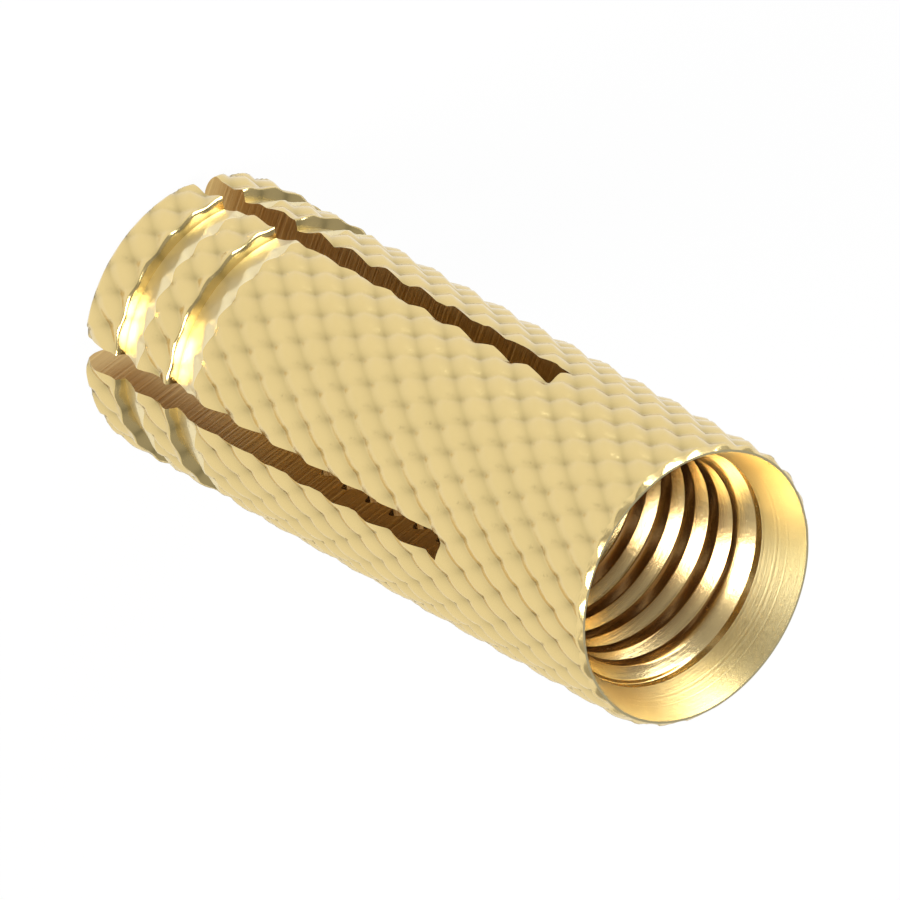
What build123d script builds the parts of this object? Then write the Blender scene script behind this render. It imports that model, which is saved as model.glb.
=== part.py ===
"""Brass threaded insert for masonry: a knurled, grooved and tapped tube whose far end is sawn into four tongues.

The insert stands on its sawn end, with its axis on +Z and its mouth on top.
Sizes are in millimetres and angles in degrees.
"""
from build123d import *
from math import ceil, cos, floor, pi, radians, sin, tan
import os

# Body, from the sawn end at Z = 0 up to the mouth
length = 32.0
end_round = 1.0

# Metric thread inside, and the wall from its outermost line to the crests of the knurl
thread_diameter = 10.0
thread_height = 0.55
wall = 1.125

# Diamond knurl: two families of rolled ridges that cross, the right-hand one standing prouder
knurl_starts = 26
right_ridge_angle = 34.3
left_ridge_angle = 31.7
valley_depth = 0.34
notch_depth = 0.13
knurl_turn = 5.9
knurl_rise = 0.333

# Two turned grooves near the sawn end, each steep on its lower side and sloping out towards the mouth
end_land = 2.45
first_groove_width = 1.50
middle_land = 1.85
second_groove_width = 1.65
groove_depth = 0.52
groove_steep_width = 0.35

# Bore below the thread: it narrows to a nose that the bolt drives apart
nose_step = 1.25
nose_height = 4.5
taper_height = 7.3

# Mouth: a steep countersink, a short relief just wider than the thread, and a bevel down to the bore
rim_bevel_width = 0.275
rim_bevel_height = 0.3
rim_width = 0.1
countersink_depth = 1.95
relief_depth = 0.35
relief_clearance = 0.05

# Two saw cuts right across the insert, square to each other, each with the round end of the saw
slot_width = 1.1
slot_depth_along_x = 23.9
slot_depth_along_y = 23.6
saw_diameter = 63.0

# Flat sides that stand for a turned surface where it crosses the knurl, and bevels that stand for the end's round
turned_sides = 78
end_round_steps = 3

# How far each cutting shape reaches past the metal that it takes away
overshoot = 1.0

knurl_radius = thread_diameter / 2 + wall
bore_radius = thread_diameter / 2 - thread_height
rim_outer_radius = knurl_radius - rim_bevel_width
cutter_radius = knurl_radius + overshoot


def cylinder_point(radius, angle, height):
    """Point at a radius, an angle round the axis in radians, and a height."""
    return (radius * cos(angle), radius * sin(angle), height)


def flat_face(corners):
    """Flat face with straight edges between its corners."""
    return Face(Wire.make_polygon(corners, close=True))


def fan(edge, height):
    """Faces from a run of points to a point on the axis, which close one end of the blank."""
    return [flat_face([(0, 0, height), here, there]) for here, there in zip(edge, edge[1:])]


def knurled_blank():
    """Bar with a six-sided pyramid at each crossing of the ridge families, a little longer than the insert.

    The crossings stand in level rings, and each ring is turned by the lean of the right-hand ridges.
    A pyramid's ring of points goes round its four valley corners, and over the two shallower
    notches that join it to the next pyramids along its right-hand ridge.
    """
    pitch = 2 * pi / knurl_starts
    right_slope = tan(radians(right_ridge_angle))
    left_slope = tan(radians(left_ridge_angle))
    row_height = pitch * knurl_radius / (right_slope + left_slope)
    lean = row_height * right_slope / knurl_radius
    valley = knurl_radius - valley_depth
    notch = knurl_radius - notch_depth
    first_row = floor((-overshoot - knurl_rise) / row_height)
    last_row = ceil((length + overshoot - knurl_rise) / row_height)
    faces = []
    for row in range(first_row, last_row + 1):
        height = knurl_rise + row * row_height
        for start in range(knurl_starts):
            angle = radians(knurl_turn) + row * lean + start * pitch
            ring = [
                cylinder_point(valley, angle + pitch / 2, height),
                cylinder_point(notch, angle + lean / 2, height + row_height / 2),
                cylinder_point(valley, angle + lean - pitch / 2, height + row_height),
                cylinder_point(valley, angle - pitch / 2, height),
                cylinder_point(notch, angle - lean / 2, height - row_height / 2),
                cylinder_point(valley, angle - lean + pitch / 2, height - row_height),
            ]
            peak = cylinder_point(knurl_radius, angle, height)
            faces += [flat_face([peak, here, there]) for here, there in zip(ring, ring[1:] + ring[:1])]
            if row == first_row:
                faces += fan(ring[3:] + ring[:1], height - 2 * row_height)
            if row == last_row:
                faces += fan(ring[:4], height + 2 * row_height)
    return Solid(Shell(faces))


def turned_sides_between(start, end):
    """Flat sides round the axis between two (radius, height) points of a turned outline."""
    step = 2 * pi / turned_sides
    faces = []
    for side in range(turned_sides):
        here, there = side * step, (side + 1) * step
        faces.append(flat_face([
            cylinder_point(start[0], here, start[1]),
            cylinder_point(start[0], there, start[1]),
            cylinder_point(end[0], there, end[1]),
            cylinder_point(end[0], here, end[1]),
        ]))
    return faces


def turned_disc(radius, height):
    """Level face with as many straight edges as a turned surface has sides."""
    step = 2 * pi / turned_sides
    return flat_face([cylinder_point(radius, side * step, height) for side in range(turned_sides)])


def facing_envelope():
    """Bar that the knurled blank is faced to: a rounded sawn end below and the rim's bevel on top."""
    bevel_reach = rim_bevel_height * overshoot / rim_bevel_width
    outline = []
    for step in range(end_round_steps + 1):
        turn = step * pi / 2 / end_round_steps
        outline.append((knurl_radius - end_round + end_round * sin(turn), end_round - end_round * cos(turn)))
    outline.append((cutter_radius, end_round + overshoot))
    outline.append((cutter_radius, length - rim_bevel_height - bevel_reach))
    outline.append((rim_outer_radius, length))
    faces = [turned_disc(*outline[0]), turned_disc(*outline[-1])]
    for start, end in zip(outline, outline[1:]):
        faces += turned_sides_between(start, end)
    return Solid(Shell(faces))


def groove_cutter(height, width):
    """Ring that cuts one groove: a steep lower wall, then a floor that slopes out to the knurl's crests."""
    steep_reach = groove_steep_width * overshoot / groove_depth
    slope_reach = (width - groove_steep_width) * overshoot / groove_depth
    outline = [
        (cutter_radius, height - steep_reach),
        (knurl_radius - groove_depth, height + groove_steep_width),
        (cutter_radius, height + width + slope_reach),
    ]
    faces = []
    for start, end in zip(outline, outline[1:] + outline[:1]):
        faces += turned_sides_between(start, end)
    return Solid(Shell(faces))


def bore_cutter():
    """Round hole right through: nose, taper, thread crests, relief and countersink."""
    nose_radius = bore_radius - nose_step
    relief_radius = thread_diameter / 2 + relief_clearance
    relief_bottom = length - countersink_depth - relief_depth
    mouth_radius = rim_outer_radius - rim_width
    with BuildSketch(Plane.XZ) as half_section:
        with BuildLine():
            Polyline(
                (0, -overshoot),
                (nose_radius, -overshoot),
                (nose_radius, nose_height),
                (bore_radius, nose_height + taper_height),
                (bore_radius, relief_bottom - (relief_radius - bore_radius)),
                (relief_radius, relief_bottom),
                (relief_radius, length - countersink_depth),
                (mouth_radius, length),
                (mouth_radius, length + overshoot),
                (0, length + overshoot),
                close=True,
            )
        make_face()
    return revolve(half_section.sketch, Axis.Z)


def saw(depth, turn):
    """Slitting saw sunk into the end to a depth on the axis, with its disc turned about the axis."""
    disc = Rot(90, 0, 0) * Cylinder(saw_diameter / 2, slot_width)
    return Rot(0, 0, turn) * Pos(0, 0, depth - saw_diameter / 2) * disc


def insert_body():
    """The whole insert, in the order that it is made: rolled, faced, grooved, bored, sawn."""
    second_groove_height = end_land + first_groove_width + middle_land
    body = knurled_blank() & facing_envelope()
    body -= [groove_cutter(end_land, first_groove_width), groove_cutter(second_groove_height, second_groove_width)]
    body -= bore_cutter()
    body -= [saw(slot_depth_along_x, 0), saw(slot_depth_along_y, 90)]
    return body.solid()


os.makedirs("parts", exist_ok=True)
export_step(insert_body(), "parts/insert_body.step")
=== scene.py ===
import bmesh
import bpy
import numpy as np
from mathutils import Matrix


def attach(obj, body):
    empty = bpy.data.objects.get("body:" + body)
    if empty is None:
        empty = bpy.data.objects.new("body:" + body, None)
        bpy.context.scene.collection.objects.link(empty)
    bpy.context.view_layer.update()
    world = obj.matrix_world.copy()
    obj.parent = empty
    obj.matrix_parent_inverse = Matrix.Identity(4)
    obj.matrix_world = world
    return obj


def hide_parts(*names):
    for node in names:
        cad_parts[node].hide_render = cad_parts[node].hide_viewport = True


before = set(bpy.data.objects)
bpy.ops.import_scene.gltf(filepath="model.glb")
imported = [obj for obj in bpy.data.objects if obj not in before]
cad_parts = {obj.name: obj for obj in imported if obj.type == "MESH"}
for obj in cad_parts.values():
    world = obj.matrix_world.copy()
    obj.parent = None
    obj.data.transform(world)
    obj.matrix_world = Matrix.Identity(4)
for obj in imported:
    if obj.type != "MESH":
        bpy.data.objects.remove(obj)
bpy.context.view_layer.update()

# Camera: a very long lens, as the sides of the insert hardly converge in the photograph. It looks down
# at the mouth from the side, and it is rolled, so that the standing insert seems to lie across the picture.
body_radius = 0.006125
mouth = np.array([0, 0, 0.032])
turn_seen = np.radians(-127.5)
tilt = 0.8111
roll = 0.5068
mouth_to_right = 1.6031
mouth_down = 0.8916
mouth_ahead = 204.9
toward = np.array([np.cos(turn_seen), np.sin(turn_seen), 0])
beside = np.array([-np.sin(turn_seen), np.cos(turn_seen), 0])
axis = np.array([0, 0, 1])
right = (np.sin(tilt) * np.cos(roll) * axis - np.cos(tilt) * np.cos(roll) * toward - np.sin(roll) * beside)
down = (np.sin(tilt) * np.sin(roll) * axis - np.cos(tilt) * np.sin(roll) * toward + np.cos(roll) * beside)
forward = -np.cos(tilt) * axis - np.sin(tilt) * toward
camera = bpy.data.objects.new("camera", bpy.data.cameras.new("camera"))
camera.data.lens = 1258
camera.data.sensor_width = 36
camera.data.clip_end = 20
place = np.eye(4)
place[:3, 0] = right
place[:3, 1] = -down
place[:3, 2] = -forward
place[:3, 3] = mouth - body_radius * (mouth_to_right * right + mouth_down * down + mouth_ahead * forward)
camera.matrix_world = Matrix(place.tolist())
bpy.context.scene.collection.objects.link(camera)
bpy.context.scene.camera = camera

# The insert: one piece of brass bar, knurled between rollers, turned and grooved outside, bored,
# countersunk and tapped inside, and sawn twice across its lower end into four tongues.
length = 32.0
crest_radius = 6.125
knurl_starts = 26
right_slope = np.tan(np.radians(34.3))
left_slope = np.tan(np.radians(31.7))
knurl_turn = np.radians(5.9)
knurl_rise = 0.333
right_depth = 0.235
left_depth = 0.125
right_power = 1.06
left_power = 2.2


def knurl_depth(angle, height):
    """Depth of the rolled pattern, the sum of two families of ridges. A right-hand ridge falls off
    almost straight to the sharp valley half-way to the next one. A left-hand ridge falls off with the
    power 2.2 of that distance, so that its top is broad. Where two valleys cross lies the deepest point."""
    pitch = 2 * np.pi / knurl_starts
    turned = angle - knurl_turn
    risen = (height - knurl_rise) / crest_radius
    right_phase = (turned - risen * right_slope) / pitch
    left_phase = (turned + risen * left_slope) / pitch
    from_right = 2 * np.abs(right_phase - np.round(right_phase))
    from_left = 2 * np.abs(left_phase - np.round(left_phase))
    return right_depth * from_right ** right_power + left_depth * from_left ** left_power


slot_half = 0.55
groove_heights = [2.45, 5.80]
groove_widths = [1.50, 1.65]
groove_depth = 0.52
steep_width = 0.16
smear_share = 0.6
smear_reach = 0.3
corner_round = 0.35
corner_width = 0.7
corner_height = 1.1
end_round = 1.0
rim_bevel_width = 0.275
rim_bevel_height = 0.3


def outside_radius(angle, height):
    """The least of four radii: the knurl, the round edge of the sawn end, which is a quarter circle,
    the bevel of the rim, and each groove's steep lower wall and its floor, which curves out with the
    power 1.5. At the sawn end each tongue's corners are rounded by two squares, of the distance from
    the cut and of the height."""
    smeared = 1.0
    for start in groove_heights:
        nearness = np.exp(-(np.minimum(height - start, 0) / smear_reach) ** 2)
        smeared = smeared * (1 - smear_share * nearness * (height <= start + smear_reach))
    radius = crest_radius - smeared * knurl_depth(angle, height)
    short = np.clip(end_round - height, 0, end_round)
    radius = np.minimum(radius, crest_radius - end_round + np.sqrt(end_round ** 2 - short ** 2))
    from_cut = crest_radius * np.abs((angle + np.pi / 4) % (np.pi / 2) - np.pi / 4) - slot_half
    near_cut = np.clip(1 - from_cut / corner_width, 0, 1) ** 2
    near_end = np.clip(1 - height / corner_height, 0, 1) ** 2
    radius = radius - corner_round * near_cut * near_end
    above = np.clip(height - (length - rim_bevel_height), 0, rim_bevel_height)
    radius = np.minimum(radius, crest_radius - rim_bevel_width * above / rim_bevel_height)
    for start, width in zip(groove_heights, groove_widths):
        down_wall = (height - start) / steep_width
        up_floor = (start + width - height) / (width - steep_width)
        cut = groove_depth * np.minimum(np.clip(down_wall, 0, 1), 1 - np.clip(1 - up_floor, 0, 1) ** 1.5)
        cut = cut * (height > start) * (height < start + width)
        radius = np.minimum(radius, crest_radius - cut)
    return radius


saw_radius = 31.5
slot_depths = [23.9, 23.6, 23.9, 23.6]
slot_cells = 8


def column_angles(land_cells, radius):
    """Angles of the columns round the body. Each quarter has the eight cells across its saw cut, whose
    edge columns lie where the radius times the sine of the angle is half the cut's width, and then
    equal cells up to the next cut. The last column repeats the first, a full turn further."""
    cells = slot_cells + land_cells
    column = np.arange(4 * cells + 1)
    quarter, step = column // cells, column % cells
    half = np.arcsin(slot_half / radius)
    across = half * (2 * step / slot_cells - 1)
    along = half + (np.pi / 2 - 2 * half) * (step - slot_cells) / land_cells
    return quarter * np.pi / 2 + np.where(step < slot_cells, across, along)


def settled_angles(land_cells, radius_at, heights):
    """Column angles on a rough surface: the angles give the radii, and the radii the angles, four times."""
    smooth = np.full((len(heights), 4 * (slot_cells + land_cells) + 1), crest_radius)
    angles = column_angles(land_cells, smooth)
    for _ in range(4):
        angles = column_angles(land_cells, radius_at(angles, heights))
    return angles


def points(radius, angles, heights):
    """Points in metres from radii, angles and heights in millimetres."""
    return 0.001 * np.stack([radius * np.cos(angles), radius * np.sin(angles), heights + 0 * angles], -1)


def rising(*stretches):
    """Heights from stretches of (from, to, steps), each without its last value, and the very last one."""
    runs = [np.linspace(low, high, steps, endpoint=False) for low, high, steps in stretches]
    return np.concatenate(runs + [[stretches[-1][1]]])


outside_heights = rising(
    (0, 0.03, 1), (0.03, 0.1, 1), (0.1, 1.0, 7), (1.0, 2.45, 11), (2.45, 2.61, 3), (2.61, 3.95, 10),
    (3.95, 5.80, 13), (5.80, 5.96, 3), (5.96, 7.45, 11), (7.45, 23.0, 110), (23.0, 23.3, 2),
    (23.3, 31.7, 60), (31.7, 32.0, 3))[:, None]
outside_land = 72
outside_angles = settled_angles(outside_land, outside_radius, outside_heights)
outside_points = points(outside_radius(outside_angles, outside_heights), outside_angles, outside_heights)

thread_pitch = 1.5
thread_major = 5.0
thread_crest = 4.45
crest_at = 28.851
thread_from = 12.0
thread_to = 29.7
fade_from = 0.3
fade_height = 3
relief_radius = 5.05
nose_radius = 3.2
nose_height = 4.5
taper_top = 11.8


def thread_radius(angle, height):
    """Radius of the tapped bore. Off the middle of a crest, by height less the helix's rise, the radius
    stays level, climbs the 60 degree flank and levels out at the root. It fades in over the lowest two
    turns, and a 45 degree bevel leads in from the relief."""
    phase = (height - crest_at - thread_pitch * angle / (2 * np.pi)) / thread_pitch
    off = thread_pitch * np.abs(phase - np.round(phase))
    cut = np.interp(off, [0.28, 0.36, 0.62, 0.69, 0.75], [0, 0.045, 0.49, 0.54, 0.55])
    radius = thread_crest + cut * np.clip((height - thread_from - fade_from) / fade_height, 0, 1)
    return np.maximum(radius, relief_radius - (thread_to - height))


turns_rows = np.array([-0.69, -0.62, -0.36, -0.28, 0, 0.28, 0.36, 0.62, 0.69, 0.75])
turns = np.arange(-13, 2)[:, None] * thread_pitch
helix_rows = (crest_at + turns + turns_rows).ravel()[:, None]
inside_land = 36
inside_columns = 4 * (slot_cells + inside_land)


def clipped_helix(angles, rows):
    """Heights of the helical rows at each column, held between the ends of the tapped length."""
    return np.clip(rows + thread_pitch * angles / (2 * np.pi), thread_from, thread_to)


helix_angles = settled_angles(
    inside_land, lambda angles, rows: thread_radius(angles, clipped_helix(angles, rows)), helix_rows)
helix_heights = clipped_helix(helix_angles, helix_rows)
slot_row = []
for quarter, depth in enumerate(slot_depths):
    cut = slice(quarter * (slot_cells + inside_land), quarter * (slot_cells + inside_land) + slot_cells + 1)
    top = depth - (saw_radius - np.sqrt(saw_radius ** 2 - thread_crest ** 2))
    row = np.abs(helix_heights[:, cut].mean(1) - top).argmin()
    helix_heights[row, cut] = top
    slot_row.append(row)
for _ in range(3):
    helix_angles = column_angles(inside_land, thread_radius(helix_angles, helix_heights))
rows_in_turn = len(turns_rows)
helix_radii = thread_radius(helix_angles, helix_heights)
for grid, step in ((helix_heights, 0), (helix_radii, 0), (helix_angles, 2 * np.pi)):
    grid[:-rows_in_turn, -1] = grid[rows_in_turn:, 0] + step
    grid[-rows_in_turn:, -1] = grid[-1, 0] + step
helix_points = points(helix_radii, helix_angles, helix_heights)

nose_outline = [
    (nose_radius, 0), (nose_radius, 2.2), (nose_radius, nose_height), (4.0, 9.16), (thread_crest, taper_top)]
mouth_outline = [
    (5.05, 29.7), (5.05, 30.05), (5.12, 30.25), (5.225, 30.54), (5.40, 31.025), (5.6, 31.58), (5.75, 32.0)]


def lathe(outline):
    """Points of a turned surface: each (radius, height) of the outline goes round the inside columns."""
    radius = np.array(outline)[:, :1] + np.zeros(inside_columns + 1)
    return points(radius, column_angles(inside_land, radius), np.array(outline)[:, 1:])


inside_points = np.concatenate([lathe(nose_outline), helix_points, lathe(mouth_outline)])
nose_rows = len(nose_outline)
slot_row = [row + nose_rows for row in slot_row]
outside_index = np.arange(outside_points[..., 0].size).reshape(outside_points.shape[:2])
inside_index = outside_index.size + np.arange(inside_points[..., 0].size).reshape(inside_points.shape[:2])
patches = []


def add_quads(index, kept, kind):
    """Four-cornered faces of a grid of point numbers, where kept is true, each with the number of its kind."""
    quads = np.stack([index[:-1, :-1], index[:-1, 1:], index[1:, 1:], index[1:, :-1]], -1)
    patches.append((quads[kept].tolist(), (kind + np.zeros(kept.shape, int))[kept].tolist()))


def open_cells(index, land, first_rows):
    """True for each cell of a grid that is metal: all but those of the saw cuts below their ends."""
    kept = np.ones((index.shape[0] - 1, index.shape[1] - 1), bool)
    for quarter, row in enumerate(first_rows):
        start = quarter * (slot_cells + land)
        kept[:row, start:start + slot_cells] = False
    return kept


outside_slot_row = [int(np.abs(outside_heights[:, 0] - top).argmin()) for top in (23.3, 23.0, 23.3, 23.0)]
middle = (outside_heights[1:] + outside_heights[:-1]) / 2

# Kinds of surface: 0 knurl, -1 and 1 a groove's steep wall and floor, 10 rim bevel, 20 nose, 30 taper, 40 thread,
# 50 relief, 60 countersink, 70 sawn end, 80 and 90 walls and ends of the saw cuts, 100 rim
outside_kind = np.zeros_like(middle, int)
for start, width in zip(groove_heights, groove_widths):
    outside_kind[(middle > start) & (middle < start + steep_width)] = -1
    outside_kind[(middle > start + steep_width) & (middle < start + width)] = 1
outside_kind[middle > length - rim_bevel_height] = 10
add_quads(outside_index, open_cells(outside_index, outside_land, outside_slot_row), outside_kind)
inside_kind = np.full((len(inside_points) - 1, 1), 40)
inside_kind[:2] = 20
inside_kind[2:nose_rows] = 30
inside_kind[-6:] = 50
inside_kind[-5:] = 60
add_quads(inside_index[:, ::-1], open_cells(inside_index, inside_land, slot_row)[:, ::-1], inside_kind)

bottom_faces, wall_faces, end_faces, rim_faces = [], [], [], []
for quarter in range(4):
    outer_start = quarter * (slot_cells + outside_land)
    inner_start = quarter * (slot_cells + inside_land)
    outer_top, inner_top = outside_slot_row[quarter], slot_row[quarter]
    outer_land = outside_index[:, outer_start + slot_cells:outer_start + slot_cells + outside_land + 1]
    inner_land = inside_index[:, inner_start + slot_cells:inner_start + slot_cells + inside_land + 1]
    bottom_faces.append(inner_land[0].tolist() + outer_land[0, ::-1].tolist())
    rim_faces += np.stack([
        outer_land[-1, :-1:2], outer_land[-1, 1::2], outer_land[-1, 2::2],
        inner_land[-1, 1:], inner_land[-1, :-1]], -1).tolist()
    outer_cut = outside_index[:, outer_start:outer_start + slot_cells + 1]
    inner_cut = inside_index[:, inner_start:inner_start + slot_cells + 1]
    rim_faces += np.stack([
        outer_cut[-1, :-1], outer_cut[-1, 1:], inner_cut[-1, 1:], inner_cut[-1, :-1]], -1).tolist()
    end_faces += np.stack([
        outer_cut[outer_top, :-1], inner_cut[inner_top, :-1],
        inner_cut[inner_top, 1:], outer_cut[outer_top, 1:]], -1).tolist()
    for side, order in ((0, -1), (slot_cells, 1)):
        inner_side = inner_cut[:inner_top + 1, side]
        inner_heights = inside_points[:inner_top + 1, inner_start + side, 2]
        inner_side = inner_side[np.append(True, np.diff(inner_heights) > 1e-6)]
        wall_faces.append((outer_cut[:outer_top + 1, side].tolist() + inner_side[::-1].tolist())[::order])
for faces, kind in ((bottom_faces, 70), (wall_faces, 80), (end_faces, 90), (rim_faces, 100)):
    patches.append((faces, [kind] * len(faces)))

insert_mesh = bpy.data.meshes.new("threaded_insert")
every_point = np.concatenate([outside_points.reshape(-1, 3), inside_points.reshape(-1, 3)])
insert_mesh.from_pydata(every_point.tolist(), [], [face for faces, _ in patches for face in faces])
kinds = np.array([kind for _, kinds in patches for kind in kinds], np.int32)
insert_mesh.attributes.new("kind", "INT", "FACE").data.foreach_set("value", kinds)
# Painted shade: the deeper the knurl's valley at a point, the darker the material paints it, through the valley
# attribute
outside_across = 1000 * np.hypot(outside_points[..., 0], outside_points[..., 1])
outside_depth = knurl_depth(outside_angles, outside_heights)
valley = outside_depth / (right_depth + left_depth) * (outside_across < crest_radius - 0.3 * outside_depth)
# Painted dark reflection: the crests of the thread, below the relief, get a weight in the valley attribute that
# paints them dark brown
tap_cut = (1000 * np.hypot(inside_points[..., 0], inside_points[..., 1]) - thread_crest) / 0.3
crest = np.where(inside_points[..., 2] < 0.0296, np.clip(1 - tap_cut, 0, 1), 0)
valley = np.concatenate([valley.ravel(), crest.ravel()])
insert_mesh.attributes.new("valley", "FLOAT", "POINT").data.foreach_set("value", valley)
welded = bmesh.new()
welded.from_mesh(insert_mesh)
bmesh.ops.remove_doubles(welded, verts=welded.verts, dist=1e-6)
loose = [vert for vert in welded.verts if not vert.link_faces]
bmesh.ops.delete(welded, geom=loose, context="VERTS")
welded.to_mesh(insert_mesh)
welded.free()
insert_mesh.polygons.foreach_set("use_smooth", np.ones(len(insert_mesh.polygons), bool))

# Where the numbers of two faces' kinds differ by more than one, the edge between them is sharp
kinds = np.zeros(len(insert_mesh.polygons), np.int32)
insert_mesh.attributes["kind"].data.foreach_get("value", kinds)
corner_edge = np.zeros(len(insert_mesh.loops), np.int32)
insert_mesh.loops.foreach_get("edge_index", corner_edge)
sides = np.zeros(len(insert_mesh.polygons), np.int32)
insert_mesh.polygons.foreach_get("loop_total", sides)
corner_kind = np.repeat(kinds, sides)
lowest = np.full(len(insert_mesh.edges), 999)
highest = np.full(len(insert_mesh.edges), -999)
np.minimum.at(lowest, corner_edge, corner_kind)
np.maximum.at(highest, corner_edge, corner_kind)
insert_mesh.attributes.new("sharp_edge", "BOOLEAN", "EDGE").data.foreach_set("value", highest - lowest > 1)
insert = bpy.data.objects.new("threaded_insert", insert_mesh)
bpy.context.scene.collection.objects.link(insert)

brass = bpy.data.materials.new("brass")
brass.use_nodes = True
nodes, links = brass.node_tree.nodes, brass.node_tree.links
shader = nodes["Principled BSDF"]


def value_of(operation, first, second=None, third=None):
    """Math node; each input is a number or another node's output."""
    node = nodes.new("ShaderNodeMath")
    node.operation = operation
    for socket, source in zip(node.inputs, (first, second, third)):
        if isinstance(source, bpy.types.NodeSocket):
            links.new(source, socket)
        elif source is not None:
            socket.default_value = source
    return node.outputs[0]


def grain(place, scale, detail, dimensions="3D"):
    """Noise between 0 and 1 at a place, which is a vector or, in one dimension, a length in metres."""
    node = nodes.new("ShaderNodeTexNoise")
    node.noise_dimensions = dimensions
    node.inputs["Scale"].default_value = scale
    node.inputs["Detail"].default_value = detail
    links.new(place, node.inputs["W" if dimensions == "1D" else "Vector"])
    return node.outputs["Fac"]


def between(share, low, high):
    """Mix of two values, or of two colours, by a share. Each is a constant or another node's output."""
    node = nodes.new("ShaderNodeMix")
    colours = isinstance(low, tuple) or getattr(low, "type", "") == "RGBA"
    node.data_type = "RGBA" if colours else "FLOAT"
    links.new(share, node.inputs[0])
    for socket, source in zip(node.inputs[6:8] if colours else node.inputs[2:4], (low, high)):
        if isinstance(source, bpy.types.NodeSocket):
            links.new(source, socket)
        else:
            socket.default_value = source
    return node.outputs[2 if colours else 0]


place = nodes.new("ShaderNodeTexCoord").outputs["Object"]
split = nodes.new("ShaderNodeSeparateXYZ")
links.new(place, split.inputs[0])
squares = [value_of("POWER", split.outputs[letter], 2.0) for letter in "XY"]
across = value_of("SQRT", value_of("ADD", *squares))
kind = nodes.new("ShaderNodeAttribute")
kind.attribute_name = "kind"
kind = kind.outputs["Fac"]
is_outside = value_of("LESS_THAN", kind, 5.0)
is_floor = value_of("COMPARE", kind, 1.0, 0.5)
is_thread = value_of("COMPARE", kind, 40.0, 2.0)
is_sawn = value_of("COMPARE", kind, 80.0, 11.0)
is_mouth = value_of("MAXIMUM", value_of("COMPARE", kind, 60.0, 2.0), value_of("GREATER_THAN", kind, 95.0))
is_turned = value_of("SUBTRACT", value_of("SUBTRACT", 1.0, is_outside), is_sawn)

# Marks: rings of the turning tool in the mouth and bore, and saw marks that lean in the cuts
rings = grain(value_of("ADD", split.outputs["Z"], value_of("MULTIPLY", across, 0.3)), 9000, 2, "1D")
leaning = value_of("SUBTRACT", split.outputs["Z"], value_of("MULTIPLY", across, 0.4))
saw_marks = grain(leaning, 5200, 2, "1D")

# Colour: a little darker in patches, paler in the mouth and on the groove floors, and deeper where the saw has
# cut. Painted shade darkens the knurl's valleys, and a painted dark reflection darkens the crests of the thread
patches_of_tone = grain(place, 420, 4)
tone = between(patches_of_tone, (0.83, 0.64, 0.29, 1), (0.76, 0.59, 0.26, 1))
tone = between(is_mouth, tone, (0.81, 0.70, 0.40, 1))
valley = nodes.new("ShaderNodeAttribute")
valley.attribute_name = "valley"
# Painted shade: the knurl's valleys and pits are darkened towards dark olive brown
painted_valley_shade = value_of("MULTIPLY", value_of("POWER", valley.outputs["Fac"], 2.5), is_outside)
tone = between(value_of("MULTIPLY", painted_valley_shade, 0.9), tone, (0.40, 0.31, 0.13, 1))
tone = between(is_floor, tone, (0.82, 0.70, 0.42, 1))
# Painted dark reflection: the thread's crests are painted dark brown, where the bore mirrors its own dark inside
tapped = between(valley.outputs["Fac"], (0.74, 0.56, 0.27, 1), (0.36, 0.22, 0.09, 1))
tone = between(is_thread, tone, tapped)
sawn = between(value_of("POWER", saw_marks, 1.5), (0.46, 0.28, 0.09, 1), (0.84, 0.60, 0.24, 1))
tone = between(is_sawn, tone, sawn)
links.new(tone, shader.inputs["Base Color"])
shader.inputs["Metallic"].default_value = 1

# Finish: the rolled metal is the brightest, the tapped metal a little duller, and the countersink, the groove
# floors and the saw cuts are satin, all with a fine grain
fine = grain(place, 5200, 3)
rough = between(is_outside, 0.2, 0.12)
rough = between(is_floor, rough, 0.34)
rough = between(is_mouth, rough, 0.33)
rough = between(is_sawn, rough, 0.34)
rough = value_of("ADD", rough, value_of("MULTIPLY", fine, 0.1))
links.new(rough, shader.inputs["Roughness"])

# Marks stand in relief, with a fine grain all over
relief = value_of("ADD", value_of("MULTIPLY", fine, 0.5), value_of("MULTIPLY", grain(place, 15000, 2), 0.35))
relief = value_of("ADD", relief, value_of("MULTIPLY", value_of("MULTIPLY", rings, is_turned), 0.5))
relief = value_of("ADD", relief, value_of("MULTIPLY", value_of("MULTIPLY", saw_marks, is_sawn), 2.0))
bump = nodes.new("ShaderNodeBump")
bump.inputs["Strength"].default_value = 1
bump.inputs["Distance"].default_value = 0.00001
links.new(relief, bump.inputs["Height"])
links.new(bump.outputs["Normal"], shader.inputs["Normal"])
insert_mesh.materials.append(brass)
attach(insert, "root")
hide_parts("insert_body")

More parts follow.
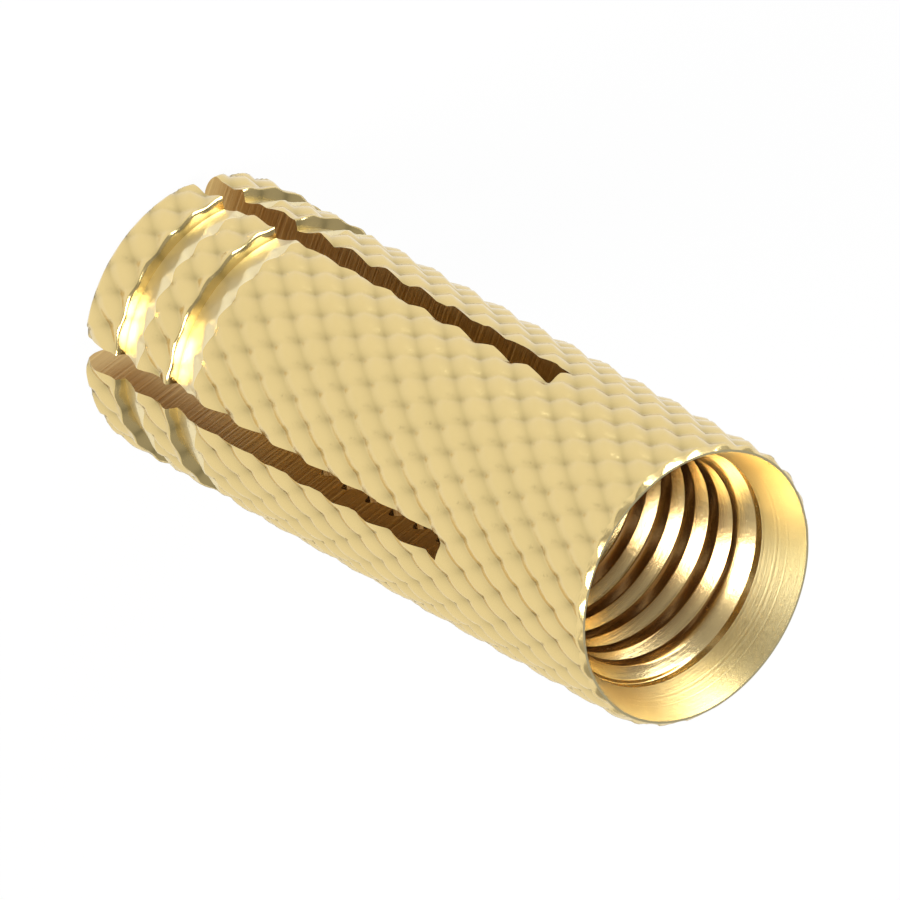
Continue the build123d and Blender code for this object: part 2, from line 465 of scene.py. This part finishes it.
# Floor: a plain white sheet that the insert stands on. The camera sees it white, with a trace of shadow,
# and the metal mirrors it.
floor_mesh = bpy.data.meshes.new("floor")
floor_mesh.from_pydata([(-1, -1, 0), (1, -1, 0), (1, 1, 0), (-1, 1, 0)], [], [(0, 1, 2, 3)])
floor = bpy.data.objects.new("floor", floor_mesh)
bpy.context.scene.collection.objects.link(floor)
paper = bpy.data.materials.new("white_paper")
paper.use_nodes = True
nodes, links = paper.node_tree.nodes, paper.node_tree.links
shader = nodes["Principled BSDF"]
shader.inputs["Base Color"].default_value = (0.85, 0.85, 0.85, 1)
shader.inputs["Roughness"].default_value = 0.9
path = nodes.new("ShaderNodeLightPath")
mirrored = value_of("MAXIMUM", path.outputs["Is Glossy Ray"], path.outputs["Is Transmission Ray"])
seen = value_of("MAXIMUM", path.outputs["Is Camera Ray"], mirrored)
white_share = 0.97
white = nodes.new("ShaderNodeEmission")
white.inputs["Strength"].default_value = 1
mix = nodes.new("ShaderNodeMixShader")
links.new(value_of("MULTIPLY", seen, white_share), mix.inputs["Fac"])
links.new(shader.outputs["BSDF"], mix.inputs[1])
links.new(white.outputs["Emission"], mix.inputs[2])
links.new(mix.outputs["Shader"], nodes["Material Output"].inputs["Surface"])
floor_mesh.materials.append(paper)

# Light: large soft lamps, a cool one from above in the picture and a warm one from below it
world = bpy.data.worlds.new("studio")
bpy.context.scene.world = world
world.use_nodes = True
world.node_tree.nodes["Background"].inputs["Color"].default_value = (0.5, 0.5, 0.5, 1)
world.node_tree.nodes["Background"].inputs["Strength"].default_value = 0.8


def lamp(name, direction, distance, size, power, colour):
    """Square lamp at a distance from the insert's middle, which it faces."""
    light = bpy.data.objects.new(name, bpy.data.lights.new(name, "AREA"))
    light.data.size = size
    light.data.energy = power
    light.data.color = colour
    direction = np.array(direction) / np.linalg.norm(direction)
    ahead = -direction
    side = np.cross(ahead, axis)
    side = side / np.linalg.norm(side)
    place = np.eye(4)
    place[:3, 0] = side
    place[:3, 1] = np.cross(side, ahead)
    place[:3, 2] = direction
    place[:3, 3] = np.array([0, 0, 0.016]) + distance * direction
    light.matrix_world = Matrix(place.tolist())
    bpy.context.scene.collection.objects.link(light)


lamp("key", 0.7 * toward + 0.5 * beside + 0.6 * axis, 0.5, 0.25, 4, (1, 0.97, 0.9))
lamp("cool_side", -beside + 0.3 * axis + 0.3 * toward, 0.5, 0.3, 3, (0.85, 0.92, 1))

bpy.context.scene.view_settings.view_transform = "Standard"
